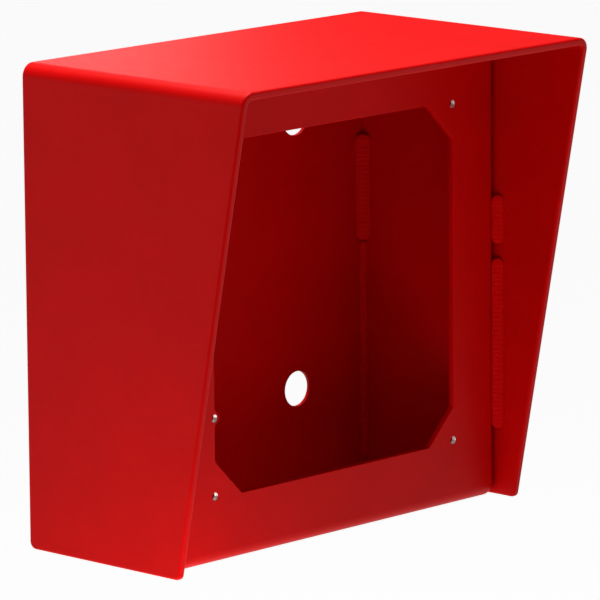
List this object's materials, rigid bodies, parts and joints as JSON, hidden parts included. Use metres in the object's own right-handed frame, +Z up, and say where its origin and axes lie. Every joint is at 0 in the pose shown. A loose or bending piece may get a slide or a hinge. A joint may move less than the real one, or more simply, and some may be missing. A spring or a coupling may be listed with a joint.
{
  "type": "safelight housing",
  "caption": "Hooded steel wall housing with an open window in its face, sloping side wings, tapped corner holes and a back plate with wall holes.",
  "frame": {"origin": "middle of the housing's rear outline, on the plane of the wall", "axes": "+Y out of the back, into the wall; -Y out of the face; +X along the width, to the right for someone facing the window; +Z up"},
  "size_m": [0.182, 0.1108, 0.178],
  "materials": {
    "red_paint": "smooth semi-gloss powder coat"
  },
  "bodies": {
    "root": {"hood_shell": "red_paint", "face_tray": "red_paint", "back_plate": "red_paint", "front_weld_lower_left": "red_paint", "front_weld_lower_right": "red_paint", "front_weld_upper_left": "red_paint", "front_weld_upper_right": "red_paint", "back_weld_lower_left": "red_paint", "back_weld_lower_right": "red_paint", "back_weld_upper_left": "red_paint", "back_weld_upper_right": "red_paint"}
  },
  "joints": []
}
